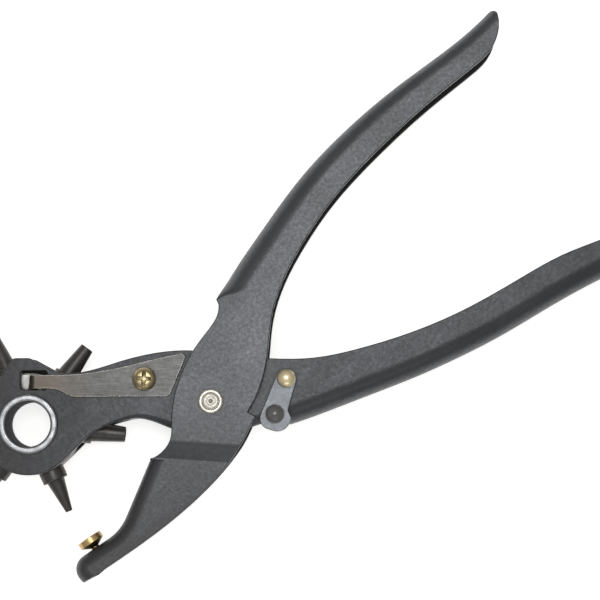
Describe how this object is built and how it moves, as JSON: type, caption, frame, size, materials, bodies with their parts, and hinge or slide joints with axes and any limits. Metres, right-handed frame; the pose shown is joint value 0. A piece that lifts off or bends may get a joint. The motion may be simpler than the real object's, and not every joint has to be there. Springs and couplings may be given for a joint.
{
  "type": "rotary hole punch",
  "caption": "Revolving leather punch pliers: folded steel arms on one rivet, a turret of hollow punch tubes on the upper jaw, a brass anvil on the lower jaw and a small latch.",
  "frame": {"origin": "centre of the turret axle, half way between its two flanges", "axes": "+X from the axle to the main pivot and on along the handles, +Z out of the front cheek along the axle, +Y towards the anvil arm's handle"},
  "size_m": [0.2239, 0.1563, 0.0199],
  "materials": {
    "arm_coat": "satin dark grey coat on pressed steel",
    "anvil_brass": "plain machined brass",
    "turret_steel": "bright turned steel",
    "axle_zinc": "bright zinc plate",
    "tube_black": "black oxide",
    "spring_steel": "tempered spring steel, bright edges",
    "yellow_zinc": "yellow zinc plate",
    "bright_nickel": "bright nickel plate",
    "plain_steel": "plain turned steel",
    "spring_wire": "drawn spring wire",
    "latch_steel": "tumbled zinc plate",
    "rivet_brass": "bright brass",
    "black_stud": "glossy black oxide"
  },
  "bodies": {
    "turret_side": {"turret_arm": "arm_coat", "turret_axle": "axle_zinc", "index_spring": "spring_steel", "index_spring_screw": "yellow_zinc", "index_spring_nut": "yellow_zinc", "main_rivet": "bright_nickel", "pivot_sleeve": "plain_steel", "handle_spring": "spring_wire", "latch_rivet": "rivet_brass", "latch_washer": "plain_steel"},
    "anvil_side": {"anvil_arm": "arm_coat", "anvil": "anvil_brass"},
    "turret": {"turret_wheel": "turret_steel", "punch_tube_2_0mm": "tube_black", "punch_tube_2_5mm": "tube_black", "punch_tube_3_0mm": "tube_black", "punch_tube_3_5mm": "tube_black", "punch_tube_4_0mm": "tube_black", "punch_tube_4_5mm": "tube_black"},
    "latch": {"latch_plate": "latch_steel", "latch_button": "black_stud"}
  },
  "joints": [
    {"name": "handle_pivot", "type": "hinge", "parent": "turret_side", "child": "anvil_side", "pos_m": [0.0556, 0, 0], "axis": [0, 0, -1], "range_deg": [0, 10.5], "stiffness_Nm_per_rad": 0.8, "springref_deg": -22.92, "deforming": ["handle_spring"]},
    {"name": "turret_spin", "type": "hinge", "parent": "turret_side", "child": "turret", "pos_m": [0, 0, 0], "axis": [0, 0, 1], "continuous": true, "deforming": ["index_spring"]},
    {"name": "latch_swing", "type": "hinge", "parent": "turret_side", "child": "latch", "pos_m": [0.0789, 0.0041, 0], "axis": [0, 0, 1], "range_deg": [0, 25]}
  ]
}
